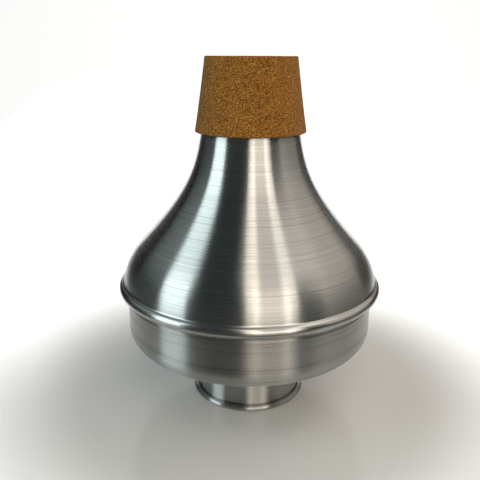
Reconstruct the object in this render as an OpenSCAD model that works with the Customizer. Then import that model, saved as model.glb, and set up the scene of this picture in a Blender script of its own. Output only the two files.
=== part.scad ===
// Trombone wah-wah mute, standing on the mouth of its stem cup with the cork end up.
// Millimetres, +Z up. The origin is on the axis, in the plane that the cup's rim stands on.
// Every piece is a sheet or a ring that is round about the Z axis.

/* [Stem cup] */
// Outer diameter of the cup's wall
cup_d = 63; // [58:0.5:70]
// Height of the cup, from the plane it stands on to the outside of its base
cup_h = 26; // [20:0.5:32]
// Outer radius of the corner between the cup's wall and its base
cup_corner_r = 10; // [6:0.5:12]
// Thickness of the cup's sheet
cup_t = 0.8; // [0.6:0.05:1]
// Inner radius of the roll that the cup's rim is curled into
curl_r = 1; // [0.8:0.05:1.4]
// Turn of the curl, from the wall round to its raw edge, in degrees
curl_turn = 288; // [250:1:300]
// Depth that the curled rim is dressed flat where it stands
rim_land = 0.1; // [0.05:0.01:0.2]

/* [Stem tube] */
// Outer diameter of the stem's tube
tube_d = 25.4; // [20:0.1:28]
// Wall of the stem's tube
tube_t = 0.8; // [0.6:0.05:1]
// Length of the tube above the cup's base
tube_l = 102; // [85:1:115]
// Height of the bead in the tube, which sits on the cup's base and stops at the sleeve
tube_bead_h = 2.4; // [2.2:0.1:3.2]
// How far that bead stands out from the tube
tube_bead_out = 2.4; // [2:0.1:3]
// How far the tube's flared lower end grips out under the cup's base
tube_lip = 2.6; // [2:0.1:4]

/* [Guide sleeve] */
// Length of the sleeve over all
sleeve_l = 32; // [25:1:45]
// Wall of the sleeve
sleeve_t = 0.8; // [0.6:0.05:1]
// Outer radius of the bend between the sleeve's wall and its flange
sleeve_mouth_r = 1.2; // [1.1:0.05:1.6]
// Width of the flange, beyond the sleeve's wall
flange_w = 4.4; // [3:0.1:7]
// Thickness of the cork lining that grips the tube
lining_t = 1.5; // [1.2:0.1:2.5]
// Height of the backing ring
ring_h = 3; // [2:0.1:5]
// Width of the backing ring
ring_w = 3.6; // [2.5:0.1:6]
// Chamfer on the backing ring's top edge
ring_chamfer = 0.6; // [0.3:0.1:1]

/* [Bowl] */
// Outer diameter of the bowl's wall, from which the bead and the shoulder take their places
bowl_d = 146.1; // [130:0.1:160]
// Width of the bowl's round part, from the flat of the bottom out to the wall
bowl_round_w = 43; // [36:0.5:48]
// Height of the round part, from the bottom up to the straight wall
bowl_h = 17.5; // [14:0.5:22]
// How far the round part keeps running outwards from the flat bottom
bowl_reach_out = 22.5; // [15:0.5:28]
// How far the round part follows the wall down
bowl_reach_down = 13; // [8:0.5:14]
// Thickness of the sheet that the bowl and the shoulder are spun from
shell_t = 0.9; // [0.7:0.05:1]

/* [Bead] */
// How far the bead's crest stands out beyond the bowl's wall
bead_out = 4.95; // [4.4:0.05:6]
// Height of the bead's crest above the bowl's bottom
bead_h = 42; // [36:0.5:50]
// Thickness of the bead from top to bottom
bead_w = 6; // [5:0.1:6.6]
// Radius of the hollow fillet between the bead and the shoulder
bead_fillet_r = 1.2; // [0.8:0.1:1.6]
// Radius of the hollow fillet between the bead and its tail
tail_fillet_r = 1.5; // [1:0.1:1.8]
// Length of the straight tail that grips the bowl below the bead
tail_l = 2; // [0.8:0.1:3]
// How far the tail's edge stands off again where it ends
tail_edge_out = 0.15; // [0:0.05:0.3]
// Height of the edge that stands off
tail_edge_h = 0.5; // [0.3:0.1:0.7]
// Clearance between the bowl's locking flange and the hollow of the bead
lock_gap = 0.5; // [0.3:0.1:0.8]
// Radius of the bend between the bowl's wall and its locking flange
lock_bend_r = 0.6; // [0.3:0.1:0.9]

/* [Shoulder and flare] */
// How far the foot of the shoulder, above the bead, lies outside the bowl's wall
skirt_out = 2.05; // [1.2:0.05:2.6]
// Lean of the shoulder where it starts, in degrees from upright
skirt_lean = 10.8; // [4:0.2:16]
// How far inside the bowl's wall the round shoulder turns into the flare
turn_in = 9.75; // [6:0.05:14]
// Height above the bead where the round shoulder turns into the flare
turn_h = 26.4; // [22:0.2:34]
// Lean of the body at that turn, in degrees from upright
turn_lean = 42.4; // [36:0.2:50]
// How far the shoulder keeps its first direction
shoulder_reach_low = 7; // [3:0.5:10]
// How far the shoulder keeps the direction of the turn
shoulder_reach_high = 12; // [6:0.5:16]
// How far the flare keeps the direction of the turn
flare_reach_low = 39; // [28:0.5:48]
// How far the flare keeps the direction of the neck
flare_reach_high = 22.9; // [14:0.5:32]

/* [Neck and cork] */
// Outer diameter of the neck at the lower edge of the cork
neck_d = 56.7; // [52:0.1:62]
// Lean of the neck there, in degrees from upright
neck_lean = 9.5; // [6:0.1:13]
// How far the neck narrows in radius from there to its open end
neck_taper = 5.75; // [3:0.05:8]
// Lean of the neck at its open end, in degrees from upright
mouth_lean = 7.3; // [4:0.1:9]
// Height of the cork's lower edge above the bead
cork_h = 89.4; // [80:0.2:100]
// Height of the cork collar
cork_l = 41; // [32:0.5:50]
// Thickness of the cork, square to the neck
cork_t = 3.2; // [2:0.1:5]
// Radius that the cork's outer edges are sanded to
cork_round = 0.7; // [0.4:0.1:0.9]
// How far the neck's edge lies below the top of the cork
neck_inset = 0.5; // [0.2:0.1:2]

/* [Fits] */
// Radial clearance between the tube and the sleeve's lining
run_gap = 0.05; // [0.02:0.01:0.1]
// Clearance of pieces that are pressed, crimped or glued together
seat_gap = 0.05; // [0.02:0.01:0.1]
// Clearance left at the stop when the stem is pushed home
stop_gap = 0.3; // [0.1:0.05:0.5]
// Clearance between the tube and the lip at the sleeve's inner end
lip_gap = 0.3; // [0.1:0.05:0.5]
// Inner radius of the tight bends in the tube and the sleeve
bend_r = 0.3; // [0.2:0.05:0.5]

/* [Hidden] */
$fn = 128;
UP = 0;
OUT = -90;

aluminium = [0.70, 0.71, 0.71];
bright_aluminium = [0.80, 0.81, 0.82];
cork_brown = [0.62, 0.44, 0.27];

tube_r = tube_d / 2;
cup_r = cup_d / 2;
tube_hole_r = tube_r + bend_r;
tube_bead_r = tube_bead_h / 2;
tube_bead_z = cup_h + seat_gap;

flange_z = tube_bead_z + tube_bead_h + stop_gap;
lining_ir = tube_r + run_gap;
sleeve_ir = lining_ir + lining_t + seat_gap;
sleeve_or = sleeve_ir + sleeve_t;
flange_r = sleeve_or + flange_w;
sleeve_top_z = flange_z + sleeve_l;
lining_z = flange_z + sleeve_mouth_r;
lining_top_z = sleeve_top_z - sleeve_t - bend_r;

bowl_z = flange_z + sleeve_t + seat_gap;
bowl_r = bowl_d / 2;
bowl_hole_r = sleeve_ir + sleeve_mouth_r + seat_gap;
ring_z = bowl_z + shell_t + seat_gap;

bead_r = bead_w / 2;
bead_c = [bowl_r + bead_out - bead_r, bowl_z + bead_h];
lock_z = bead_c.y - shell_t / 2;
lock_r = bowl_r + bead_out - shell_t - lock_gap;
tail_r = bowl_r + seat_gap + shell_t;
skirt_r = bowl_r + skirt_out;

turn = [bowl_r - turn_in, bead_c.y + turn_h];
cork_z = bead_c.y + cork_h;
neck = [neck_d / 2, cork_z];
cork_top_z = cork_z + cork_l;
mouth = [neck.x - neck_taper, cork_top_z - neck_inset];

// Direction with a lean in degrees from upright towards the axis
function heading(lean) = [-sin(lean), cos(lean)];

// Points of an arc, from angle a to angle b in degrees
function arc(centre, r, a, b, steps) =
    [for (i = [0 : steps]) let (t = a + (b - a) * i / steps) centre + r * [cos(t), sin(t)]];

// Points of a smooth curve that leaves p with one lean and reaches q with another
function curve(p, lean_p, reach_p, q, lean_q, reach_q, steps) =
    let (u = p + reach_p * heading(lean_p), v = q - reach_q * heading(lean_q))
    [for (i = [0 : steps]) let (t = i / steps, s = 1 - t)
        s ^ 3 * p + 3 * s ^ 2 * t * u + 3 * s * t ^ 2 * v + t ^ 3 * q];

// Points of a path with each repeated point left out
function tidy(path) =
    [for (i = [0 : len(path) - 1]) if (i == 0 || norm(path[i] - path[max(i - 1, 0)]) > 0.001) path[i]];

// Unit direction of a path at its point i, along the mean of the two stretches that meet there
function along(path, i) =
    let (n = len(path) - 1,
         a = path[max(i, 1)] - path[max(i, 1) - 1],
         b = path[min(i, n - 1) + 1] - path[min(i, n - 1)],
         d = a / norm(a) + b / norm(b))
    d / norm(d);

// The same path moved sideways by a sheet's thickness, to its left where t is above 0
function beside(path, t) =
    [for (i = [0 : len(path) - 1])
        let (d = along(path, i), n = len(path) - 1,
             a = path[max(i, 1)] - path[max(i, 1) - 1],
             stretch = (a / norm(a)) * d)
        path[i] + t / stretch * [-d.y, d.x]];

// Outline of a sheet that has one face on the path and is t thick
function sheet(path, t) =
    let (other = beside(path, t))
    concat(path, [for (i = [len(other) - 1 : -1 : 0]) other[i]]);

// Ring between two radii and two heights
module ring(r_in, r_out, low, high) {
    rotate_extrude()
        polygon([[r_in, low], [r_out, low], [r_out, high], [r_in, high]]);
}

// Cup's top face, from the tube's hole over the corner and down the wall into the curled rim
function cup_path() =
    let (corner = [cup_r - cup_corner_r, cup_h - cup_corner_r],
         roll = [cup_r + curl_r, curl_r + cup_t - rim_land])
    tidy(concat(
        [[tube_hole_r, cup_h]],
        arc(corner, cup_corner_r, 90, 0, 12),
        arc(roll, curl_r, 180, 180 + curl_turn, 20)));

module stem_cup() {
    color(aluminium)
        rotate_extrude()
            difference() {
                polygon(sheet(cup_path(), -cup_t));
                translate([0, -cup_t]) square([cup_d, cup_t]);
            }
}

// Tube's outer face, from the edge of its flared lip up over its bead to its open end
function tube_path() =
    let (lip_z = cup_h - cup_t - seat_gap,
         crest = [tube_r + tube_bead_out - tube_bead_r, tube_bead_z + tube_bead_r],
         bead_top_z = tube_bead_z + tube_bead_h)
    tidy(concat(
        [[tube_r + tube_lip, lip_z]],
        arc([tube_hole_r, lip_z + bend_r], bend_r, 270, 180, 4),
        arc([tube_hole_r, tube_bead_z - bend_r], bend_r, 180, 90, 4),
        arc(crest, tube_bead_r, -90, 90, 10),
        arc([tube_hole_r, bead_top_z + bend_r], bend_r, 270, 180, 4),
        [[tube_r, cup_h + tube_l]]));

module stem_tube() {
    color(bright_aluminium)
        rotate_extrude()
            polygon(sheet(tube_path(), tube_t));
}

// Sleeve's inner face, from the edge of its flange up to the lip that holds the lining down
function sleeve_path() =
    tidy(concat(
        [[flange_r, flange_z]],
        arc([sleeve_ir + sleeve_mouth_r, flange_z + sleeve_mouth_r], sleeve_mouth_r, 270, 180, 6),
        arc([sleeve_ir - bend_r, lining_top_z], bend_r, 0, 90, 4),
        [[tube_r + lip_gap, sleeve_top_z - sleeve_t]]));

module guide_sleeve() {
    color(bright_aluminium)
        rotate_extrude()
            polygon(sheet(sleeve_path(), -sleeve_t));
}

module sleeve_lining() {
    color(cork_brown)
        ring(lining_ir, lining_ir + lining_t, lining_z, lining_top_z);
}

module sleeve_ring() {
    inner = sleeve_or + seat_gap;
    outer = inner + ring_w;
    top = ring_z + ring_h;
    color(bright_aluminium)
        rotate_extrude()
            polygon([[inner, ring_z], [outer, ring_z], [outer, top - ring_chamfer],
                     [outer - ring_chamfer, top], [inner, top]]);
}

// Bowl's outer face, from its hole over the round bottom and up to the flange locked in the bead
function bowl_path() =
    tidy(concat(
        [[bowl_hole_r, bowl_z]],
        curve([bowl_r - bowl_round_w, bowl_z], OUT, bowl_reach_out,
              [bowl_r, bowl_z + bowl_h], UP, bowl_reach_down, 20),
        arc([bowl_r + lock_bend_r, lock_z - lock_bend_r], lock_bend_r, 180, 90, 4),
        [[lock_r, lock_z]]));

module lower_shell() {
    color(aluminium)
        rotate_extrude()
            polygon(sheet(bowl_path(), shell_t));
}

// Tail, hollow fillet, bead and the fillet above it, up to the start of the shoulder
function bead_path() =
    let (low = [tail_r + tail_fillet_r, bead_c.y - sqrt((bead_r + tail_fillet_r) ^ 2
                - (tail_r + tail_fillet_r - bead_c.x) ^ 2)],
         high_x = skirt_r + bead_fillet_r * cos(skirt_lean),
         high = [high_x, bead_c.y + sqrt((bead_r + bead_fillet_r) ^ 2 - (high_x - bead_c.x) ^ 2)],
         low_angle = atan2(low.y - bead_c.y, low.x - bead_c.x),
         high_angle = atan2(high.y - bead_c.y, high.x - bead_c.x))
    concat(
        [[tail_r + tail_edge_out, low.y - tail_l], [tail_r, low.y - tail_l + tail_edge_h]],
        arc(low, tail_fillet_r, 180, 180 + low_angle, 5),
        arc(bead_c, bead_r, low_angle, high_angle, 16),
        arc(high, bead_fillet_r, 180 + high_angle, 180 + skirt_lean, 5));

// Upper shell's outer face, from the tail below the bead up to the open end of the neck
function body_path() =
    let (bead = bead_path(),
         start = bead[len(bead) - 1])
    tidy(concat(
        bead,
        curve(start, skirt_lean, shoulder_reach_low, turn, turn_lean, shoulder_reach_high, 14),
        curve(turn, turn_lean, flare_reach_low, neck, neck_lean, flare_reach_high, 20),
        neck_path()));

// Neck's outer face under the cork
function neck_path() =
    curve(neck, neck_lean, cork_l / 3, mouth, mouth_lean, cork_l / 3, 6);

module upper_shell() {
    color(aluminium)
        rotate_extrude()
            polygon(sheet(body_path(), shell_t));
}

module cork_collar() {
    bed = beside(neck_path(), -seat_gap);
    last = len(bed) - 1;
    low_c = [neck.x + cork_t / cos(neck_lean) - cork_round, cork_z + cork_round];
    high_c = [mouth.x + cork_t / cos(mouth_lean) - cork_round, cork_top_z - cork_round];
    foot = low_c + cork_round * [cos(neck_lean), sin(neck_lean)];
    head = high_c + cork_round * [cos(mouth_lean), sin(mouth_lean)];
    color(cork_brown)
        rotate_extrude()
            polygon(tidy(concat(
                arc(low_c, cork_round, -90, neck_lean, 5),
                curve(foot, neck_lean, cork_l / 3, head, mouth_lean, cork_l / 3, 8),
                arc(high_c, cork_round, mouth_lean, 90, 5),
                [[bed[last].x, cork_top_z]],
                [for (i = [last : -1 : 1]) bed[i]],
                [[bed[0].x, cork_z]])));
}

stem_cup();
stem_tube();
guide_sleeve();
sleeve_lining();
sleeve_ring();
lower_shell();
upper_shell();
cork_collar();
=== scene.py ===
"""Trombone wah-wah mute, dressed for the render.

Metres, in the frame of the CAD model: +Z up along the mute's axis, the origin in the plane that the cup
stands on. Every piece is a sheet, a tube or a ring that is round about the Z axis, so each is an outline spun
about it.
"""
import math

import bmesh
import bpy
from bpy.props import FloatProperty, FloatVectorProperty, PointerProperty
from mathutils import Matrix, Vector


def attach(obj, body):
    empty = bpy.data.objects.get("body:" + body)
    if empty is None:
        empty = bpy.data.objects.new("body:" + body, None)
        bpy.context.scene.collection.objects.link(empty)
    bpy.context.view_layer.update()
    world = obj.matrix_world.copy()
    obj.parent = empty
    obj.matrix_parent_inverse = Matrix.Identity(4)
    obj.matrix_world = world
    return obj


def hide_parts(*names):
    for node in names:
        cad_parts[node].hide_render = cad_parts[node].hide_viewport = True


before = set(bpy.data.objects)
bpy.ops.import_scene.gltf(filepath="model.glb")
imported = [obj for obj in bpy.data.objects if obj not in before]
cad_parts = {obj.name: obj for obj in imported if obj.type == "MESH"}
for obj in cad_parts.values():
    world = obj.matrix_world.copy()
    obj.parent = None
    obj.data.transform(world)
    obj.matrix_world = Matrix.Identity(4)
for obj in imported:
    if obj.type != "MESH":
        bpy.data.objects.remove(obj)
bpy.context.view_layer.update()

bl_info = {
    "name": "Trombone wah-wah mute",
    "version": (1, 0, 0),
    "blender": (4, 5, 0),
    "location": "3D View > Sidebar > Mute",
    "description": "Makes a spun aluminium trombone mute with its cork and sliding stem, and a studio",
    "category": "Add Mesh",
}

# The lean of a curve that runs upright, and of one that runs level outwards
UP = 0
OUTWARDS = math.radians(-90)


def linear_colour(hex_code):
    """Linear RGBA of an sRGB hex value such as c8c8c4."""
    parts = [int(hex_code[i:i + 2], 16) / 255 for i in (0, 2, 4)]
    return [p / 12.92 if p <= 0.04045 else ((p + 0.055) / 1.055) ** 2.4 for p in parts] + [1.0]


class CupSizes(bpy.types.PropertyGroup):
    diameter: FloatProperty(
        name="Diameter", description="Outer diameter of the cup's wall",
        default=0.063, unit="LENGTH", precision=4)
    height: FloatProperty(
        name="Height", description="From the plane it stands on to the outside of its base",
        default=0.026, unit="LENGTH", precision=4)
    corner: FloatProperty(
        name="Corner", description="Outer radius between the wall and the base",
        default=0.010, unit="LENGTH", precision=4)
    sheet: FloatProperty(
        name="Sheet", description="Thickness of the cup's sheet",
        default=0.0008, unit="LENGTH", precision=4)
    curl: FloatProperty(
        name="Curl", description="Inner radius of the roll that the rim is curled into",
        default=0.001, unit="LENGTH", precision=4)
    curl_turn: FloatProperty(
        name="Curl turn", description="Turn of the curl, from the wall round to its raw edge",
        default=math.radians(288), subtype="ANGLE")
    land: FloatProperty(
        name="Land", description="Depth that the rim is dressed flat where it stands",
        default=0.0001, unit="LENGTH", precision=5)


class TubeSizes(bpy.types.PropertyGroup):
    diameter: FloatProperty(
        name="Diameter", description="Outer diameter of the stem's tube",
        default=0.0254, unit="LENGTH", precision=4)
    wall: FloatProperty(
        name="Wall", description="Wall of the stem's tube",
        default=0.0008, unit="LENGTH", precision=4)
    length: FloatProperty(
        name="Length", description="Length of the tube above the cup's base",
        default=0.102, unit="LENGTH", precision=4)
    bead_height: FloatProperty(
        name="Bead height", description="Height of the bead that sits on the cup's base",
        default=0.0024, unit="LENGTH", precision=4)
    bead_out: FloatProperty(
        name="Bead width", description="How far that bead stands out from the tube",
        default=0.0024, unit="LENGTH", precision=4)
    lip: FloatProperty(
        name="Lip", description="How far the flared lower end grips out under the cup's base",
        default=0.0026, unit="LENGTH", precision=4)
    bend: FloatProperty(
        name="Bend", description="Inner radius of the tube's tight bends",
        default=0.0003, unit="LENGTH", precision=4)


class BowlSizes(bpy.types.PropertyGroup):
    diameter: FloatProperty(
        name="Diameter", description="Outer diameter of the bowl's wall",
        default=0.1461, unit="LENGTH", precision=4)
    bottom: FloatProperty(
        name="Bottom height", description="Height of the bowl's bottom above the plane the mute stands on",
        default=0.0296, unit="LENGTH", precision=4)
    hole: FloatProperty(
        name="Hole", description="Radius of the hole that the sleeve stands in",
        default=0.01555, unit="LENGTH", precision=5)
    round_width: FloatProperty(
        name="Round width", description="Width of the round part, from the flat bottom out to the wall",
        default=0.043, unit="LENGTH", precision=4)
    round_height: FloatProperty(
        name="Round height", description="Height of the round part, up to the straight wall",
        default=0.0175, unit="LENGTH", precision=4)
    reach_out: FloatProperty(
        name="Reach outwards", description="How far the round part keeps running outwards",
        default=0.0225, unit="LENGTH", precision=4)
    reach_down: FloatProperty(
        name="Reach downwards", description="How far the round part follows the wall down",
        default=0.013, unit="LENGTH", precision=4)
    sheet: FloatProperty(
        name="Sheet", description="Thickness of the sheet that the bowl and the shoulder are spun from",
        default=0.0009, unit="LENGTH", precision=4)


class BeadSizes(bpy.types.PropertyGroup):
    out: FloatProperty(
        name="Out", description="How far the bead's crest stands out beyond the bowl's wall",
        default=0.00495, unit="LENGTH", precision=5)
    height: FloatProperty(
        name="Height", description="Height of the bead's crest above the bowl's bottom",
        default=0.0420, unit="LENGTH", precision=4)
    width: FloatProperty(
        name="Width", description="Thickness of the bead from top to bottom",
        default=0.006, unit="LENGTH", precision=4)
    upper_fillet: FloatProperty(
        name="Upper fillet", description="Radius of the hollow between the bead and the shoulder",
        default=0.0012, unit="LENGTH", precision=4)
    tail_fillet: FloatProperty(
        name="Tail fillet", description="Radius of the hollow between the bead and its tail",
        default=0.0015, unit="LENGTH", precision=4)
    tail: FloatProperty(
        name="Tail", description="Length of the straight tail that grips the bowl below the bead",
        default=0.0020, unit="LENGTH", precision=4)
    tail_edge_out: FloatProperty(
        name="Tail's edge out", description="How far the tail's edge stands off again where it ends",
        default=0.00015, unit="LENGTH", precision=5)
    tail_edge: FloatProperty(
        name="Tail's edge", description="Height of the edge that stands off",
        default=0.0005, unit="LENGTH", precision=4)
    lock_gap: FloatProperty(
        name="Lock clearance", description="Clearance of the bowl's locked flange in the bead's hollow",
        default=0.0005, unit="LENGTH", precision=4)
    lock_bend: FloatProperty(
        name="Lock bend", description="Radius of the bend between the bowl's wall and its locked flange",
        default=0.0006, unit="LENGTH", precision=4)
    seat_gap: FloatProperty(
        name="Seat clearance", description="Clearance of pieces that are pressed, crimped or glued",
        default=0.00005, unit="LENGTH", precision=5)


class ShoulderSizes(bpy.types.PropertyGroup):
    skirt_out: FloatProperty(
        name="Foot", description="How far the foot of the shoulder lies outside the bowl's wall",
        default=0.00205, unit="LENGTH", precision=5)
    skirt_lean: FloatProperty(
        name="Foot's lean", description="Lean of the shoulder where it starts, from upright",
        default=math.radians(10.8), subtype="ANGLE")
    turn_in: FloatProperty(
        name="Turn inwards", description="How far inside the bowl's wall the shoulder turns into the flare",
        default=0.00975, unit="LENGTH", precision=5)
    turn_height: FloatProperty(
        name="Turn height", description="Height above the bead where the shoulder turns into the flare",
        default=0.0264, unit="LENGTH", precision=4)
    turn_lean: FloatProperty(
        name="Turn's lean", description="Lean of the body at that turn, from upright",
        default=math.radians(42.4), subtype="ANGLE")
    low_reach: FloatProperty(
        name="Low reach", description="How far the shoulder keeps its first direction",
        default=0.007, unit="LENGTH", precision=4)
    high_reach: FloatProperty(
        name="High reach", description="How far the shoulder keeps the direction of the turn",
        default=0.012, unit="LENGTH", precision=4)
    flare_low_reach: FloatProperty(
        name="Flare's low reach", description="How far the flare keeps the direction of the turn",
        default=0.039, unit="LENGTH", precision=4)
    flare_high_reach: FloatProperty(
        name="Flare's high reach", description="How far the flare keeps the direction of the neck",
        default=0.0229, unit="LENGTH", precision=4)


class NeckSizes(bpy.types.PropertyGroup):
    diameter: FloatProperty(
        name="Diameter", description="Outer diameter of the neck at the lower edge of the cork",
        default=0.0567, unit="LENGTH", precision=4)
    lean: FloatProperty(
        name="Lean", description="Lean of the neck there, from upright",
        default=math.radians(9.5), subtype="ANGLE")
    taper: FloatProperty(
        name="Taper", description="How far the neck narrows in radius from there to its open end",
        default=0.00575, unit="LENGTH", precision=5)
    mouth_lean: FloatProperty(
        name="Mouth's lean", description="Lean of the neck at its open end, from upright",
        default=math.radians(7.3), subtype="ANGLE")
    inset: FloatProperty(
        name="Inset", description="How far the neck's edge lies below the top of the cork",
        default=0.0005, unit="LENGTH", precision=4)
    cork_height: FloatProperty(
        name="Cork height", description="Height of the cork's lower edge above the bead",
        default=0.0894, unit="LENGTH", precision=4)
    cork_length: FloatProperty(
        name="Cork length", description="Height of the cork collar",
        default=0.041, unit="LENGTH", precision=4)
    cork_thickness: FloatProperty(
        name="Cork thickness", description="Thickness of the cork, square to the neck",
        default=0.0032, unit="LENGTH", precision=4)
    cork_round: FloatProperty(
        name="Cork edges", description="Radius that the cork's outer edges are sanded to",
        default=0.0007, unit="LENGTH", precision=4)


class FinishSettings(bpy.types.PropertyGroup):
    metal: FloatVectorProperty(
        name="Spun metal", description="Colour of the spun aluminium",
        subtype="COLOR", size=4, min=0, max=1, default=linear_colour("cfcfcc"))
    metal_line: FloatVectorProperty(
        name="Brush lines", description="Colour of the spun aluminium in its deepest scratches",
        subtype="COLOR", size=4, min=0, max=1, default=linear_colour("8c8c89"))
    # The bowl's and the cup's metal is the body's metal painted darker: painted shade for the dim floor that
    # these low pieces mirror.
    shaded_metal: FloatVectorProperty(
        name="Dull metal", description="Colour of the bowl and the cup, which are duller than the body",
        subtype="COLOR", size=4, min=0, max=1, default=linear_colour("c1c1bf"))
    tube_metal: FloatVectorProperty(
        name="Drawn metal", description="Colour of the drawn tube, the sleeve and its ring",
        subtype="COLOR", size=4, min=0, max=1, default=linear_colour("d6d6d4"))
    line_width: FloatProperty(
        name="Brush line", description="Width of a brush line",
        default=0.00026, unit="LENGTH", precision=5)
    cork: FloatVectorProperty(
        name="Cork", description="Colour of most of the cork's granules",
        subtype="COLOR", size=4, min=0, max=1, default=linear_colour("915812"))
    cork_light: FloatVectorProperty(
        name="Light cork", description="Colour of the lightest granules",
        subtype="COLOR", size=4, min=0, max=1, default=linear_colour("e4ac58"))
    # Used for the bark, which is its own colour, and for the pits, where it is painted shade.
    bark_and_pit_shade: FloatVectorProperty(
        name="Dark cork", description="Colour of the bark and the pits between granules",
        subtype="COLOR", size=4, min=0, max=1, default=linear_colour("241002"))
    granule: FloatProperty(
        name="Granule", description="Width of a cork granule",
        default=0.0005, unit="LENGTH", precision=5)


class StudioSettings(bpy.types.PropertyGroup):
    sheet: FloatVectorProperty(
        name="Sheet", description="Colour of the bent acrylic sheet that is floor and backdrop",
        subtype="COLOR", size=4, min=0, max=1, default=linear_colour("e4e4e2"))
    sheet_around: FloatVectorProperty(
        name="Sheet around", description="Colour that the sheet is graded to, outside the camera's view",
        subtype="COLOR", size=4, min=0, max=1, default=linear_colour("5a5a58"))
    # The glow is painted light: an emission on the pale sheet, standing in for a light behind it.
    glow: FloatProperty(
        name="Glow", description="How far the pale sheet is lit from behind, where 1 is white",
        default=0.77, min=0, max=1)
    room: FloatVectorProperty(
        name="Room", description="Colour of the dim room around the set",
        subtype="COLOR", size=4, min=0, max=1, default=linear_colour("394041"))
    lens: FloatProperty(
        name="Lens", description="Focal length of the camera",
        default=44.49, unit="CAMERA")


def heading(lean):
    """Unit direction with a lean from upright towards the axis."""
    return Vector((-math.sin(lean), math.cos(lean)))


def arc(centre, radius, a, b, steps):
    """Points of an arc, from angle a to angle b in degrees."""
    angles = [math.radians(a + (b - a) * i / steps) for i in range(steps + 1)]
    return [Vector(centre) + radius * Vector((math.cos(t), math.sin(t))) for t in angles]


def curve(p, lean_p, reach_p, q, lean_q, reach_q, steps):
    """Points of a smooth curve that leaves p with one lean and reaches q with another."""
    p, q = Vector(p), Vector(q)
    u = p + reach_p * heading(lean_p)
    v = q - reach_q * heading(lean_q)
    points = []
    for i in range(steps + 1):
        t = i / steps
        s = 1 - t
        points.append(s ** 3 * p + 3 * s ** 2 * t * u + 3 * s * t ** 2 * v + t ** 3 * q)
    return points


def tidy(path):
    """The path's points with each repeated point left out."""
    kept = [Vector(path[0])]
    for point in path[1:]:
        if (Vector(point) - kept[-1]).length > 1e-6:
            kept.append(Vector(point))
    return kept


def beside(path, distance):
    """The same path moved sideways by a sheet's thickness, to its left where the distance is above 0."""
    moved = []
    last = len(path) - 1
    for i, point in enumerate(path):
        before = (path[max(i, 1)] - path[max(i, 1) - 1]).normalized()
        after = (path[min(i, last - 1) + 1] - path[min(i, last - 1)]).normalized()
        along = (before + after).normalized()
        moved.append(point + distance / before.dot(along) * Vector((-along.y, along.x)))
    return moved


def sheet(path, thickness):
    """Outline of a sheet that has one face on the path."""
    return path + beside(path, thickness)[::-1]


# How far an edge is cut back, the largest share of a stretch that this takes, and the bend that counts as a
# corner
EDGE_BREAK = 0.00012
EDGE_BREAK_SHARE = 0.4
CORNER = math.radians(40)


def break_corners(outline):
    """The outline with each sharp corner taken off in a small round, as a deburred edge has."""
    points = []
    count = len(outline)
    for i, point in enumerate(outline):
        back = outline[i - 1] - point
        on = outline[(i + 1) % count] - point
        if back.angle(on) > math.pi - CORNER:
            points.append(point)
            continue
        cut = min(EDGE_BREAK, EDGE_BREAK_SHARE * back.length, EDGE_BREAK_SHARE * on.length)
        a = point + cut * back.normalized()
        b = point + cut * on.normalized()
        points += [a, 0.25 * a + 0.5 * point + 0.25 * b, b]
    return points


# Steps round the axis, and along each curve of the outlines
TURNS = 288
BEND_STEPS = 6
CORK_EDGE_STEPS = 8
FILLET_STEPS = 10
NECK_STEPS = 16
TUBE_BEAD_STEPS = 16
CUP_CORNER_STEPS = 24
BEAD_STEPS = 36
CURL_STEPS = 40
SHOULDER_STEPS = 40
CORK_STEPS = 40
BOWL_STEPS = 48
FLARE_STEPS = 56


def spin(name, outline, body, material, replaced):
    """Spins an outline of (radius, height) points about the axis, and rides the piece on its body."""
    points = break_corners(outline)
    mesh = bpy.data.meshes.new(name)
    shape = bmesh.new()
    rings = []
    for i in range(TURNS):
        angle = 2 * math.pi * i / TURNS
        c, s = math.cos(angle), math.sin(angle)
        rings.append([shape.verts.new((p.x * c, p.x * s, p.y)) for p in points])
    for i, ring in enumerate(rings):
        following = rings[(i + 1) % TURNS]
        for j in range(len(points)):
            k = (j + 1) % len(points)
            face = shape.faces.new((ring[j], following[j], following[k], ring[k]))
            face.smooth = True
    bmesh.ops.recalc_face_normals(shape, faces=shape.faces)
    shape.to_mesh(mesh)
    shape.free()
    mesh.materials.append(material)
    piece = bpy.data.objects.new(name, mesh)
    bpy.context.scene.collection.objects.link(piece)
    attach(piece, body)
    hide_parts(replaced)
    return piece


def refinish(piece, low, high, material):
    """Gives the faces of a piece between two heights a second material."""
    piece.data.materials.append(material)
    for face in piece.data.polygons:
        if low < face.center.z < high:
            face.material_index = 1


def cup_outline(cup):
    """The cup's sheet, from the tube's hole over the corner and down the wall into the curled rim."""
    tube = bpy.context.scene.mute_tube
    wall = cup.diameter / 2
    hole = tube.diameter / 2 + tube.bend
    corner = (wall - cup.corner, cup.height - cup.corner)
    roll = (wall + cup.curl, cup.curl + cup.sheet - cup.land)
    path = tidy([(hole, cup.height)]
                + arc(corner, cup.corner, 90, 0, CUP_CORNER_STEPS)
                + arc(roll, cup.curl, 180, 180 + math.degrees(cup.curl_turn), CURL_STEPS))
    outline = sheet(path, -cup.sheet)
    return [Vector((p.x, max(p.y, 0.0))) for p in outline]


def tube_outline(tube):
    """The tube's sheet, from the edge of its flared lip up over its bead to its open end."""
    cup = bpy.context.scene.mute_cup
    gap = bpy.context.scene.mute_bead.seat_gap
    wall = tube.diameter / 2
    bead = tube.bead_height / 2
    lip_z = cup.height - cup.sheet - gap
    bead_z = cup.height + gap
    bend = tube.bend
    path = tidy([(wall + tube.lip, lip_z)]
                + arc((wall + bend, lip_z + bend), bend, 270, 180, BEND_STEPS)
                + arc((wall + bend, bead_z - bend), bend, 180, 90, BEND_STEPS)
                + arc((wall + tube.bead_out - bead, bead_z + bead), bead, -90, 90, TUBE_BEAD_STEPS)
                + arc((wall + bend, bead_z + tube.bead_height + bend), bend, 270, 180, BEND_STEPS)
                + [(wall, cup.height + tube.length)])
    return sheet(path, tube.wall)


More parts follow.
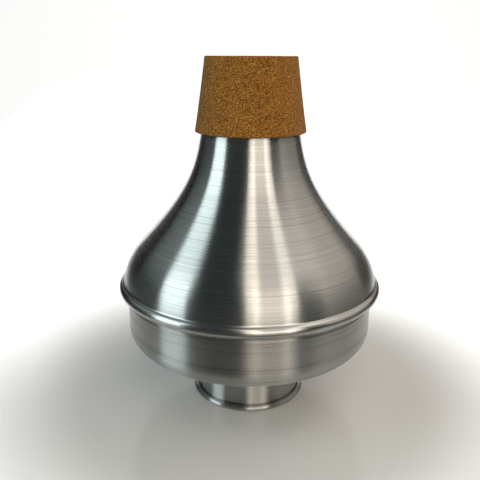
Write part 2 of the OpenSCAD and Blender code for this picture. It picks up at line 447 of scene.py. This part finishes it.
def bowl_outline(bowl):
    """The bowl's sheet, from its hole over the round bottom and up to the flange locked in the bead."""
    bead = bpy.context.scene.mute_bead
    wall = bowl.diameter / 2
    lock_z = bowl.bottom + bead.height - bowl.sheet / 2
    lock_r = wall + bead.out - bowl.sheet - bead.lock_gap
    path = tidy([(bowl.hole, bowl.bottom)]
                + curve((wall - bowl.round_width, bowl.bottom), OUTWARDS, bowl.reach_out,
                        (wall, bowl.bottom + bowl.round_height), UP, bowl.reach_down, BOWL_STEPS)
                + arc((wall + bead.lock_bend, lock_z - bead.lock_bend), bead.lock_bend, 180, 90, BEND_STEPS)
                + [(lock_r, lock_z)])
    return sheet(path, bowl.sheet)


def bead_path(bowl, bead, shoulder):
    """Tail, hollow fillet, bead and the fillet above it, up to the start of the shoulder."""
    wall = bowl.diameter / 2
    radius = bead.width / 2
    centre = Vector((wall + bead.out - radius, bowl.bottom + bead.height))
    tail_r = wall + bead.seat_gap + bowl.sheet
    low_x = tail_r + bead.tail_fillet
    low_drop = math.sqrt((radius + bead.tail_fillet) ** 2 - (low_x - centre.x) ** 2)
    low = Vector((low_x, centre.y - low_drop))
    high_x = wall + shoulder.skirt_out + bead.upper_fillet * math.cos(shoulder.skirt_lean)
    high_rise = math.sqrt((radius + bead.upper_fillet) ** 2 - (high_x - centre.x) ** 2)
    high = Vector((high_x, centre.y + high_rise))
    low_angle = math.degrees(math.atan2(low.y - centre.y, low.x - centre.x))
    high_angle = math.degrees(math.atan2(high.y - centre.y, high.x - centre.x))
    skirt_angle = math.degrees(shoulder.skirt_lean)
    end = low.y - bead.tail
    return ([Vector((tail_r + bead.tail_edge_out, end)), Vector((tail_r, end + bead.tail_edge))]
            + arc(low, bead.tail_fillet, 180, 180 + low_angle, FILLET_STEPS)
            + arc(centre, radius, low_angle, high_angle, BEAD_STEPS)
            + arc(high, bead.upper_fillet, 180 + high_angle, 180 + skirt_angle, FILLET_STEPS))


def neck_path(neck, bowl, bead):
    """The neck's outer face under the cork, up to its open end."""
    cork_z = bowl.bottom + bead.height + neck.cork_height
    low = Vector((neck.diameter / 2, cork_z))
    mouth = Vector((low.x - neck.taper, cork_z + neck.cork_length - neck.inset))
    reach = neck.cork_length / 3
    return curve(low, neck.lean, reach, mouth, neck.mouth_lean, reach, NECK_STEPS)


def body_outline(shoulder):
    """The upper shell's sheet, from the tail below the bead up to the open end of the neck."""
    scene = bpy.context.scene
    bowl, bead, neck = scene.mute_bowl, scene.mute_bead, scene.mute_neck
    edge = bead_path(bowl, bead, shoulder)
    turn = Vector((bowl.diameter / 2 - shoulder.turn_in, bowl.bottom + bead.height + shoulder.turn_height))
    collar = neck_path(neck, bowl, bead)
    path = tidy(edge
                + curve(edge[-1], shoulder.skirt_lean, shoulder.low_reach,
                        turn, shoulder.turn_lean, shoulder.high_reach, SHOULDER_STEPS)
                + curve(turn, shoulder.turn_lean, shoulder.flare_low_reach,
                        collar[0], neck.lean, shoulder.flare_high_reach, FLARE_STEPS)
                + collar)
    return sheet(path, bowl.sheet)


def cork_outline(neck):
    """The cork collar, bedded on the neck, with sanded outer edges."""
    scene = bpy.context.scene
    collar = neck_path(neck, scene.mute_bowl, scene.mute_bead)
    bed = beside(collar, -scene.mute_bead.seat_gap)
    low, mouth = collar[0], collar[-1]
    top_z = low.y + neck.cork_length
    edge = neck.cork_round
    low_c = Vector((low.x + neck.cork_thickness / math.cos(neck.lean) - edge, low.y + edge))
    high_c = Vector((mouth.x + neck.cork_thickness / math.cos(neck.mouth_lean) - edge, top_z - edge))
    foot = low_c + edge * Vector((math.cos(neck.lean), math.sin(neck.lean)))
    head = high_c + edge * Vector((math.cos(neck.mouth_lean), math.sin(neck.mouth_lean)))
    reach = neck.cork_length / 3
    return tidy(arc(low_c, edge, -90, math.degrees(neck.lean), CORK_EDGE_STEPS)
                + curve(foot, neck.lean, reach, head, neck.mouth_lean, reach, CORK_STEPS)
                + arc(high_c, edge, math.degrees(neck.mouth_lean), 90, CORK_EDGE_STEPS)
                + [(bed[-1].x, top_z)]
                + bed[:0:-1]
                + [(bed[0].x, low.y)])


def add_node(tree, kind, inputs=None, **settings):
    """Adds a node with its settings. Inputs maps a socket to its value, or to the output that feeds it."""
    node = tree.nodes.new(kind)
    for name, value in settings.items():
        setattr(node, name, value)
    for socket, value in (inputs or {}).items():
        if isinstance(value, bpy.types.NodeSocket):
            tree.links.new(value, node.inputs[socket])
        else:
            node.inputs[socket].default_value = value
    return node


def new_material(name):
    """An empty node material and its tree."""
    material = bpy.data.materials.new(name)
    material.use_nodes = True
    material.node_tree.nodes.clear()
    return material, material.node_tree


# Most values of a noise texture lie between these two
NOISE_LOW = 0.35
NOISE_HIGH = 0.65

# Brush lines and scratches: how far the noise swings from a middling line to the deepest one, or to bright
# metal, at contrast 1, how deep a line is, and the noise values where a stray scratch and a worn patch begin
# and are full
LINE_SPREAD = 0.14
LINE_DEPTH = 0.00004
SCRATCH_FROM = 0.68
SCRATCH_FULL = 0.76
WORN_FROM = 0.48
WORN_FULL = 0.58


def turned_metal(name, finish, metal, line, strokes, roughness, smear, contrast):
    """Aluminium with lines that run round the axis.

    line is the width of a line in metres, drawn coarser than a real one so that it shows. strokes is how many
    follow one another round the turn, and smear how much further a light spreads across the lines than along
    them.
    """
    material, tree = new_material(name)
    place = add_node(tree, "ShaderNodeTexCoord").outputs["Object"]
    flat = add_node(tree, "ShaderNodeVectorMath", {0: place, 1: (1, 1, 0)}, operation="MULTIPLY").outputs[0]
    radius = add_node(tree, "ShaderNodeVectorMath", {0: flat}, operation="LENGTH").outputs["Value"]
    height = add_node(tree, "ShaderNodeSeparateXYZ", {0: place}).outputs["Z"]
    around = add_node(tree, "ShaderNodeSeparateXYZ", {
        0: add_node(tree, "ShaderNodeVectorMath", {0: flat}, operation="NORMALIZE").outputs[0]})
    # Radius and height place a point on the outline, and the way round the turn gives the noise two more axes
    pace = strokes * line / math.tau
    along_x = add_node(tree, "ShaderNodeMath", {
        0: around.outputs["X"], 1: pace}, operation="MULTIPLY").outputs[0]
    along_y = add_node(tree, "ShaderNodeMath", {
        0: around.outputs["Y"], 1: pace}, operation="MULTIPLY").outputs[0]
    section = add_node(tree, "ShaderNodeCombineXYZ", {"X": radius, "Y": height, "Z": along_x}).outputs[0]
    rings = add_node(tree, "ShaderNodeTexNoise", {
        "Vector": section, "Scale": 1 / line, "Detail": 2.0, "Roughness": 0.6},
        noise_dimensions="2D").outputs[0]
    patches = add_node(tree, "ShaderNodeTexNoise", {
        "Vector": section, "W": along_y, "Scale": 0.4 / line, "Detail": 1.0},
        noise_dimensions="4D").outputs[0]
    strength = add_node(tree, "ShaderNodeMapRange", {
        "Value": patches, "From Min": NOISE_LOW, "From Max": NOISE_HIGH,
        "To Min": 0.2, "To Max": 1.6}).outputs[0]
    depth = add_node(tree, "ShaderNodeMath", {
        0: add_node(tree, "ShaderNodeMath", {0: rings, 1: 0.5}, operation="SUBTRACT").outputs[0],
        1: strength, 2: 0.5}, operation="MULTIPLY_ADD").outputs[0]
    tone = add_node(tree, "ShaderNodeMapRange", {
        "Value": depth, "From Min": 0.5 - LINE_SPREAD / contrast, "From Max": 0.5 + LINE_SPREAD / contrast,
        "To Min": 0.4}).outputs[0]
    # Here and there the brush leaves one deeper scratch, about as wide as two lines
    apart = add_node(tree, "ShaderNodeVectorMath", {0: section, 1: (0, 1, 0)}).outputs[0]
    stray = add_node(tree, "ShaderNodeTexNoise", {
        "Vector": apart, "Scale": 0.6 / line, "Detail": 0.0}, noise_dimensions="2D").outputs[0]
    scratch = add_node(tree, "ShaderNodeMapRange", {
        "Value": stray, "From Min": SCRATCH_FROM, "From Max": SCRATCH_FULL,
        "To Max": 0.5 * contrast}).outputs[0]
    worn = add_node(tree, "ShaderNodeMapRange", {
        "Value": patches, "From Min": WORN_FROM, "From Max": WORN_FULL}).outputs[0]
    deeper = add_node(tree, "ShaderNodeMath", {0: scratch, 1: worn}, operation="MULTIPLY").outputs[0]
    tone = add_node(tree, "ShaderNodeMath", {0: tone, 1: deeper}, operation="SUBTRACT").outputs[0]
    colour = add_node(tree, "ShaderNodeMix", {
        0: tone, 6: list(finish.metal_line), 7: list(metal)}, data_type="RGBA").outputs[2]
    gloss = add_node(tree, "ShaderNodeMapRange", {
        "Value": depth, "From Min": NOISE_LOW, "From Max": NOISE_HIGH,
        "To Min": 1.1 * roughness, "To Max": 0.9 * roughness}).outputs[0]
    relief = add_node(tree, "ShaderNodeBump", {
        "Height": depth, "Strength": 0.25 * contrast, "Distance": LINE_DEPTH}).outputs[0]
    shader = add_node(tree, "ShaderNodeBsdfPrincipled", {
        "Base Color": colour, "Metallic": 1.0, "Roughness": gloss, "Normal": relief,
        "Anisotropic": smear, "Anisotropic Rotation": 0.25,
        "Tangent": add_node(tree, "ShaderNodeTangent", direction_type="RADIAL", axis="Z").outputs[0]})
    add_node(tree, "ShaderNodeOutputMaterial", {"Surface": shader.outputs[0]})
    return material


def spun_brushed_aluminium(name, finish):
    """Aluminium sheet, spun on a lathe and brushed with the grain of the turning.

    The brush lines run far round the axis, so the metal mirrors sharply sideways and smears every light up
    and down: the eye sees upright bands of light that follow the body's curves, crossed by long fine lines.
    """
    return turned_metal(name, finish, finish.metal, line=finish.line_width, strokes=8,
                        roughness=0.28, smear=1.0, contrast=0.5)


def scratch_brushed_aluminium(name, finish):
    """Aluminium sheet, spun on a lathe and brushed by hand with a coarse pad.

    The strokes are short and uneven, so the bands of light are blotchy, with ragged edges. They are dim too,
    because the colour is the shaded metal: the body's metal painted darker, as painted shade.
    """
    return turned_metal(name, finish, finish.shaded_metal, line=1.3 * finish.line_width, strokes=40,
                        roughness=0.33, smear=1.0, contrast=1.8)


def fine_spun_aluminium(name, finish):
    """Aluminium sheet, spun on a lathe and left as the tool smoothed it.

    The lines are fine and even, so the bands of light keep sharp edges and the grooves stay crisp.
    """
    # The cup takes the shaded metal, painted darker than the body as painted shade.
    return turned_metal(name, finish, finish.shaded_metal, line=0.8 * finish.line_width, strokes=6,
                        roughness=0.32, smear=1.0, contrast=0.6)


def rolled_aluminium(name, finish):
    """Aluminium sheet, burnished by the roller that closed the bead over the bowl's edge.

    The roller presses the brush lines nearly flat, so the bead carries small bright highlights with clear
    ends.
    """
    return turned_metal(name, finish, finish.metal, line=0.8 * finish.line_width, strokes=6,
                        roughness=0.26, smear=0.8, contrast=0.4)


# Die lines are drawn coarser than real ones so that they show: a third of a millimetre apart round the tube,
# and each about 25 mm long
DIE_LINE = 0.001 / 3
DIE_LINE_LENGTH = 0.025
DIE_LINE_DEPTH = 0.00003


def drawn_aluminium(name, finish):
    """Aluminium tube, drawn through a die and left bright.

    The die leaves faint lines along the tube, so lights on it spread a little sideways and stay clean.
    """
    material, tree = new_material(name)
    place = add_node(tree, "ShaderNodeTexCoord").outputs["Object"]
    stretched = add_node(tree, "ShaderNodeVectorMath", {
        0: place, 1: (1 / DIE_LINE, 1 / DIE_LINE, 1 / DIE_LINE_LENGTH)}, operation="MULTIPLY").outputs[0]
    lines = add_node(tree, "ShaderNodeTexNoise", {
        "Vector": stretched, "Scale": 1.0, "Detail": 3.0, "Roughness": 0.6}).outputs[0]
    gloss = add_node(tree, "ShaderNodeMapRange", {
        "Value": lines, "From Min": 0.3, "From Max": 0.7, "To Min": 0.22, "To Max": 0.34}).outputs[0]
    relief = add_node(tree, "ShaderNodeBump", {
        "Height": lines, "Strength": 0.15, "Distance": DIE_LINE_DEPTH}).outputs[0]
    shader = add_node(tree, "ShaderNodeBsdfPrincipled", {
        "Base Color": list(finish.tube_metal), "Metallic": 1.0, "Roughness": gloss, "Normal": relief})
    add_node(tree, "ShaderNodeOutputMaterial", {"Surface": shader.outputs[0]})
    return material


# How much of the tone the large granules and the small crumbs give, and where and how deep the pits lie; the
# pits are painted dark, as painted shade
GRANULE_SHARE = 0.4
CRUMB_SHARE = 0.6
PIT_FROM = 0.66
PIT_FULL = 0.74
PIT_DEPTH = 0.0003


def sanded_agglomerated_cork(name, finish):
    """Cork granules pressed and bound, then sanded.

    The eye sees tan crumbs about half a millimetre wide, some lighter, with dark bark and small open pits
    between. The bark's dark is its own colour; the pits are painted dark, as painted shade inside them.
    """
    material, tree = new_material(name)
    place = add_node(tree, "ShaderNodeTexCoord").outputs["Object"]
    warp = add_node(tree, "ShaderNodeTexNoise", {
        "Vector": place, "Scale": 0.9 / finish.granule, "Detail": 2.0}).outputs["Color"]
    shift = add_node(tree, "ShaderNodeVectorMath", {
        0: warp, "Scale": 0.6 * finish.granule}, operation="SCALE").outputs[0]
    bent = add_node(tree, "ShaderNodeVectorMath", {0: place, 1: shift}, operation="ADD").outputs[0]
    granules = add_node(tree, "ShaderNodeTexVoronoi", {"Vector": bent, "Scale": 1 / finish.granule})
    crumbs = add_node(tree, "ShaderNodeTexVoronoi", {"Vector": bent, "Scale": 2.2 / finish.granule})
    granule = add_node(tree, "ShaderNodeSeparateColor", {0: granules.outputs["Color"]}).outputs[0]
    crumb = add_node(tree, "ShaderNodeSeparateColor", {0: crumbs.outputs["Color"]}).outputs[0]
    tone = add_node(tree, "ShaderNodeMath", {
        0: add_node(tree, "ShaderNodeMath", {0: granule, 1: GRANULE_SHARE}, operation="MULTIPLY").outputs[0],
        1: add_node(tree, "ShaderNodeMath", {0: crumb, 1: CRUMB_SHARE}, operation="MULTIPLY").outputs[0]},
        operation="ADD").outputs[0]
    lighter = add_node(tree, "ShaderNodeMapRange", {
        "Value": tone, "From Min": 0.5, "From Max": 0.9}).outputs[0]
    darker = add_node(tree, "ShaderNodeMapRange", {
        "Value": tone, "From Min": 0.45, "From Max": 0.1, "To Max": 0.85}).outputs[0]
    base = add_node(tree, "ShaderNodeMix", {
        0: lighter, 6: list(finish.cork), 7: list(finish.cork_light)}, data_type="RGBA").outputs[2]
    bark = add_node(tree, "ShaderNodeMix", {
        0: darker, 6: base, 7: list(finish.bark_and_pit_shade)}, data_type="RGBA").outputs[2]
    specks = add_node(tree, "ShaderNodeTexNoise", {
        "Vector": place, "Scale": 1.1 / finish.granule, "Detail": 1.0}).outputs[0]
    pits = add_node(tree, "ShaderNodeMapRange", {
        "Value": specks, "From Min": PIT_FROM, "From Max": PIT_FULL}).outputs[0]
    # The pits are painted in the dark colour: painted shade inside them.
    colour = add_node(tree, "ShaderNodeMix", {
        0: pits, 6: bark, 7: list(finish.bark_and_pit_shade)}, data_type="RGBA").outputs[2]
    hollow = add_node(tree, "ShaderNodeMath", {
        0: pits, 1: 1.5, 2: granules.outputs["Distance"]}, operation="MULTIPLY_ADD").outputs[0]
    relief = add_node(tree, "ShaderNodeBump", {
        "Height": hollow, "Strength": 0.7, "Distance": PIT_DEPTH}, invert=True).outputs[0]
    shader = add_node(tree, "ShaderNodeBsdfPrincipled", {
        "Base Color": colour, "Roughness": 0.85, "Specular IOR Level": 0.2, "Normal": relief,
        "Sheen Weight": 0.06, "Sheen Roughness": 0.6})
    add_node(tree, "ShaderNodeOutputMaterial", {"Surface": shader.outputs[0]})
    return material


# The pale wedge of the sheet: where it starts in front, its half width beside the mute, how that grows
# towards the back, and how wide its edges fade
PALE_FRONT = -0.097
PALE_FRONT_FADE = 0.02
PALE_HALF = 0.165
PALE_SIDE_FADE = 0.04
PALE_SPREAD = 0.42

# The painted glow starts this far from the mute's foot and is full at the second distance, so nearer the mute
# the sheet stays darker, as painted shade
GLOW_NEAR = 0.10
GLOW_FAR = 0.21


def satin_acrylic(studio):
    """Satin acrylic sheet, pale where the camera looks and graded to grey around that.

    The pale part glows a little: painted light, an emission that stands in for a light behind it. The glow
    shows to the camera and in the metal, and lights nothing, so the mute's shadow stays on it. The glow fades
    out towards the mute, so the sheet round its foot stays darker, as painted shade. Its faint gloss mirrors
    the lamps up into the mute.
    """
    material, tree = new_material("satin_acrylic")
    place = add_node(tree, "ShaderNodeTexCoord").outputs["Object"]
    axes = add_node(tree, "ShaderNodeSeparateXYZ", {0: place})
    behind = add_node(tree, "ShaderNodeMapRange", {
        "Value": axes.outputs["Y"], "From Min": PALE_FRONT - PALE_FRONT_FADE, "From Max": PALE_FRONT},
        interpolation_type="SMOOTHSTEP").outputs[0]
    spread = add_node(tree, "ShaderNodeMath", {
        0: axes.outputs["Y"], 1: PALE_SPREAD}, operation="MULTIPLY").outputs[0]
    side = add_node(tree, "ShaderNodeMath", {0: axes.outputs["X"]}, operation="ABSOLUTE").outputs[0]
    aside = add_node(tree, "ShaderNodeMath", {0: side, 1: spread}, operation="SUBTRACT").outputs[0]
    between = add_node(tree, "ShaderNodeMapRange", {
        "Value": aside, "From Min": PALE_HALF + PALE_SIDE_FADE, "From Max": PALE_HALF},
        interpolation_type="SMOOTHSTEP").outputs[0]
    pale = add_node(tree, "ShaderNodeMath", {0: behind, 1: between}, operation="MULTIPLY").outputs[0]
    colour = add_node(tree, "ShaderNodeMix", {
        0: pale, 6: list(studio.sheet_around), 7: list(studio.sheet)}, data_type="RGBA").outputs[2]
    satin = add_node(tree, "ShaderNodeBsdfPrincipled", {"Base Color": colour, "Roughness": 0.15}).outputs[0]
    ray = add_node(tree, "ShaderNodeLightPath")
    seen = add_node(tree, "ShaderNodeMath", {
        0: ray.outputs["Is Camera Ray"], 1: ray.outputs["Is Glossy Ray"]}, operation="ADD").outputs[0]
    seen = add_node(tree, "ShaderNodeMath", {
        0: seen, 1: ray.outputs["Is Transmission Ray"]}, operation="ADD", use_clamp=True).outputs[0]
    away = add_node(tree, "ShaderNodeVectorMath", {0: place}, operation="LENGTH").outputs["Value"]
    far = add_node(tree, "ShaderNodeMapRange", {
        "Value": away, "From Min": GLOW_NEAR, "From Max": GLOW_FAR},
        interpolation_type="SMOOTHSTEP").outputs[0]
    # The painted glow is left off near the mute, which leaves the sheet round its foot darker, as painted
    # shade.
    lit = add_node(tree, "ShaderNodeMath", {0: pale, 1: far}, operation="MULTIPLY").outputs[0]
    glow = add_node(tree, "ShaderNodeMath", {0: seen, 1: lit}, operation="MULTIPLY").outputs[0]
    strength = add_node(tree, "ShaderNodeMath", {0: glow, 1: studio.glow}, operation="MULTIPLY").outputs[0]
    light = add_node(tree, "ShaderNodeEmission", {"Strength": strength}).outputs[0]
    both = add_node(tree, "ShaderNodeAddShader", {0: satin, 1: light}).outputs[0]
    add_node(tree, "ShaderNodeOutputMaterial", {"Surface": both})
    return material


def finish_of(make):
    """The material that a maker function gives, made at its first use and shared after that."""
    name = make.__name__
    return bpy.data.materials.get(name) or make(name, bpy.context.scene.mute_finish)


class MUTE_OT_cup(bpy.types.Operator):
    """Makes the spun cup of the stem, with its curled rim brushed like the bowl"""
    bl_idname = "mute.cup"
    bl_label = "Stem cup"

    def execute(self, context):
        sizes = context.scene.mute_cup
        cup = spin("cup", cup_outline(sizes), "stem", finish_of(fine_spun_aluminium),
                   "stem_cup")
        rim_top = 2 * (sizes.curl + sizes.sheet)
        refinish(cup, -sizes.sheet, rim_top, finish_of(scratch_brushed_aluminium))
        return {"FINISHED"}


class MUTE_OT_tube(bpy.types.Operator):
    """Makes the drawn tube of the stem, beaded and flared where it holds the cup"""
    bl_idname = "mute.tube"
    bl_label = "Stem tube"

    def execute(self, context):
        spin("tube", tube_outline(context.scene.mute_tube), "stem", finish_of(drawn_aluminium),
             "stem_tube")
        return {"FINISHED"}


class MUTE_OT_guide(bpy.types.Operator):
    """Finishes the sleeve, its backing ring and its cork lining"""
    bl_idname = "mute.guide"
    bl_label = "Guide"

    def execute(self, context):
        metal = finish_of(drawn_aluminium)
        cork = finish_of(sanded_agglomerated_cork)
        for node, material in (("guide_sleeve", metal), ("sleeve_ring", metal), ("sleeve_lining", cork)):
            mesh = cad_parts[node].data
            mesh.materials.clear()
            mesh.materials.append(material)
        return {"FINISHED"}


class MUTE_OT_bowl(bpy.types.Operator):
    """Makes the spun bowl, with the flange that the bead locks"""
    bl_idname = "mute.bowl"
    bl_label = "Bowl"

    def execute(self, context):
        spin("bowl", bowl_outline(context.scene.mute_bowl), "mute_body",
             finish_of(scratch_brushed_aluminium), "lower_shell")
        return {"FINISHED"}


class MUTE_OT_body(bpy.types.Operator):
    """Makes the spun shoulder, flare and neck, with the rolled bead at the foot"""
    bl_idname = "mute.body"
    bl_label = "Body"

    def execute(self, context):
        scene = context.scene
        body = spin("body", body_outline(scene.mute_shoulder), "mute_body",
                    finish_of(spun_brushed_aluminium), "upper_shell")
        edge = bead_path(scene.mute_bowl, scene.mute_bead, scene.mute_shoulder)
        refinish(body, edge[0].y, edge[-1].y, finish_of(rolled_aluminium))
        return {"FINISHED"}


class MUTE_OT_cork(bpy.types.Operator):
    """Makes the tapered cork collar round the neck"""
    bl_idname = "mute.cork"
    bl_label = "Cork collar"

    def execute(self, context):
        spin("cork", cork_outline(context.scene.mute_neck), "mute_body",
             finish_of(sanded_agglomerated_cork), "cork_collar")
        return {"FINISHED"}


# All lamps aim at the middle of the mute, from the same distance
LAMP_TARGET = Vector((0, 0, 0.1))
LAMP_DISTANCE = 1.2


def add_softbox(name, azimuth, elevation, width, height, radiance, colour, roll=0):
    """A lamp aimed at the mute, as wide and high as it looks from there, in degrees.

    Azimuth 0 is on the camera's side and grows towards +X. Where radiance is 1, its face is as bright as
    white in the render.
    """
    lamp = bpy.data.lights.new(name, "AREA")
    lamp.shape = "RECTANGLE"
    lamp.size = 2 * LAMP_DISTANCE * math.tan(math.radians(width / 2))
    lamp.size_y = 2 * LAMP_DISTANCE * math.tan(math.radians(height / 2))
    lamp.energy = radiance * math.pi * lamp.size * lamp.size_y
    lamp.color = linear_colour(colour)[:3]
    a, e = math.radians(azimuth), math.radians(elevation)
    away = Vector((math.sin(a) * math.cos(e), -math.cos(a) * math.cos(e), math.sin(e)))
    box = bpy.data.objects.new(name, lamp)
    box.location = LAMP_TARGET + LAMP_DISTANCE * away
    level = Vector((math.cos(a), math.sin(a), 0))
    rise = away.cross(level)
    r = math.radians(roll)
    right = math.cos(r) * level + math.sin(r) * rise
    up = math.cos(r) * rise - math.sin(r) * level
    box.matrix_world = Matrix.Translation(box.location) @ Matrix((right, up, away)).transposed().to_4x4()
    bpy.context.scene.collection.objects.link(box)
    return box


# The width of the camera's sensor, in millimetres
SENSOR_WIDTH = 36

# Worked out from the ellipses that the bead, the cork's edge and the cup's rim draw in the photograph
CAMERA_PLACE = Vector((0, -0.3408, 0.2010))
CAMERA_PAN = math.radians(-0.96)
CAMERA_TILT = math.radians(17.08)
CAMERA_ROLL = math.radians(0.29)

# The sweep's floor and back in side view, and half its breadth
SWEEP_FRONT = -1.5
SWEEP_BACK = 1.6
SWEEP_HALF = 2.5
SWEEP_BEND = 0.6
SWEEP_TOP = 2.2
SWEEP_BEND_STEPS = 24


class MUTE_OT_studio(bpy.types.Operator):
    """Makes the acrylic sweep, the lamps, the dim room and the camera"""
    bl_idname = "mute.studio"
    bl_label = "Studio"

    def execute(self, context):
        studio = context.scene.mute_studio
        self.add_sweep(studio)
        self.add_lamps()
        self.set_room(studio)
        self.add_camera(context.scene, studio)
        context.scene.view_settings.view_transform = "Standard"
        return {"FINISHED"}

    def add_sweep(self, studio):
        side = [(SWEEP_FRONT, 0.0)]
        bend = arc((SWEEP_BACK - SWEEP_BEND, SWEEP_BEND), SWEEP_BEND, -90, 0, SWEEP_BEND_STEPS)
        side += [(p.x, p.y) for p in bend]
        side.append((SWEEP_BACK, SWEEP_TOP))
        verts = [(x, y, z) for y, z in side for x in (-SWEEP_HALF, SWEEP_HALF)]
        faces = [(2 * i, 2 * i + 1, 2 * i + 3, 2 * i + 2) for i in range(len(side) - 1)]
        mesh = bpy.data.meshes.new("acrylic_sweep")
        mesh.from_pydata(verts, [], faces)
        mesh.shade_smooth()
        mesh.materials.append(satin_acrylic(studio))
        sweep = bpy.data.objects.new("acrylic_sweep", mesh)
        bpy.context.scene.collection.objects.link(sweep)

    def add_lamps(self):
        add_softbox("cool_window", -71, 22, 26, 54, 2.9, "dcecee", roll=15)
        add_softbox("left_fill", -110, 42, 38, 44, 0.3, "dff0f0")
        add_softbox("warm_strip", 3, 35, 11, 72, 1.85, "fff2e2")
        add_softbox("warm_window", 20, 19, 30, 40, 2.0, "fff2e2")
        add_softbox("right_strip", 39, 27, 11, 54, 1.9, "fff4e8", roll=-12)
        add_softbox("overhead", 65, 70, 60, 34, 0.8, "fffaf2")
        add_softbox("right_fill", 101, 42, 68, 50, 0.7, "fff4e8")
        add_softbox("right_low", 91, 8, 50, 18, 0.24, "fff4e8")
        add_softbox("right_edge", 142, 36, 16, 52, 0.25, "fff4e8")

    def set_room(self, studio):
        world = bpy.data.worlds.new("dim_room")
        world.use_nodes = True
        world.node_tree.nodes["Background"].inputs["Color"].default_value = studio.room
        bpy.context.scene.world = world

    def add_camera(self, scene, studio):
        data = bpy.data.cameras.new("camera")
        data.sensor_width = SENSOR_WIDTH
        data.lens = studio.lens
        data.clip_start = 0.01
        camera = bpy.data.objects.new("camera", data)
        forward = Vector((math.sin(CAMERA_PAN) * math.cos(CAMERA_TILT),
                          math.cos(CAMERA_PAN) * math.cos(CAMERA_TILT), -math.sin(CAMERA_TILT)))
        level = Vector((math.cos(CAMERA_PAN), -math.sin(CAMERA_PAN), 0))
        rise = level.cross(forward)
        right = math.cos(CAMERA_ROLL) * level + math.sin(CAMERA_ROLL) * rise
        up = math.cos(CAMERA_ROLL) * rise - math.sin(CAMERA_ROLL) * level
        turn = Matrix((right, up, -forward)).transposed().to_4x4()
        camera.matrix_world = Matrix.Translation(CAMERA_PLACE) @ turn
        scene.collection.objects.link(camera)
        scene.camera = camera


OPERATORS = (
    MUTE_OT_studio, MUTE_OT_cup, MUTE_OT_tube, MUTE_OT_guide, MUTE_OT_bowl, MUTE_OT_body, MUTE_OT_cork,
)


class MUTE_PT_panel(bpy.types.Panel):
    """Lists the pieces of the mute and its studio"""
    bl_idname = "MUTE_PT_panel"
    bl_label = "Wah-wah mute"
    bl_space_type = "VIEW_3D"
    bl_region_type = "UI"
    bl_category = "Mute"

    def draw(self, context):
        for operator in OPERATORS:
            self.layout.operator(operator.bl_idname)


SETTINGS = {
    "mute_cup": CupSizes, "mute_tube": TubeSizes, "mute_bowl": BowlSizes, "mute_bead": BeadSizes,
    "mute_shoulder": ShoulderSizes, "mute_neck": NeckSizes, "mute_finish": FinishSettings,
    "mute_studio": StudioSettings,
}


def register():
    for group in SETTINGS.values():
        bpy.utils.register_class(group)
    for name, group in SETTINGS.items():
        setattr(bpy.types.Scene, name, PointerProperty(type=group))
    for operator in OPERATORS:
        bpy.utils.register_class(operator)
    bpy.utils.register_class(MUTE_PT_panel)


def unregister():
    bpy.utils.unregister_class(MUTE_PT_panel)
    for operator in reversed(OPERATORS):
        bpy.utils.unregister_class(operator)
    for name in SETTINGS:
        delattr(bpy.types.Scene, name)
    for group in SETTINGS.values():
        bpy.utils.unregister_class(group)


def main():
    register()
    for operator in OPERATORS:
        group, name = operator.bl_idname.split(".")
        getattr(getattr(bpy.ops, group), name)()


if __name__ == "__main__":
    main()
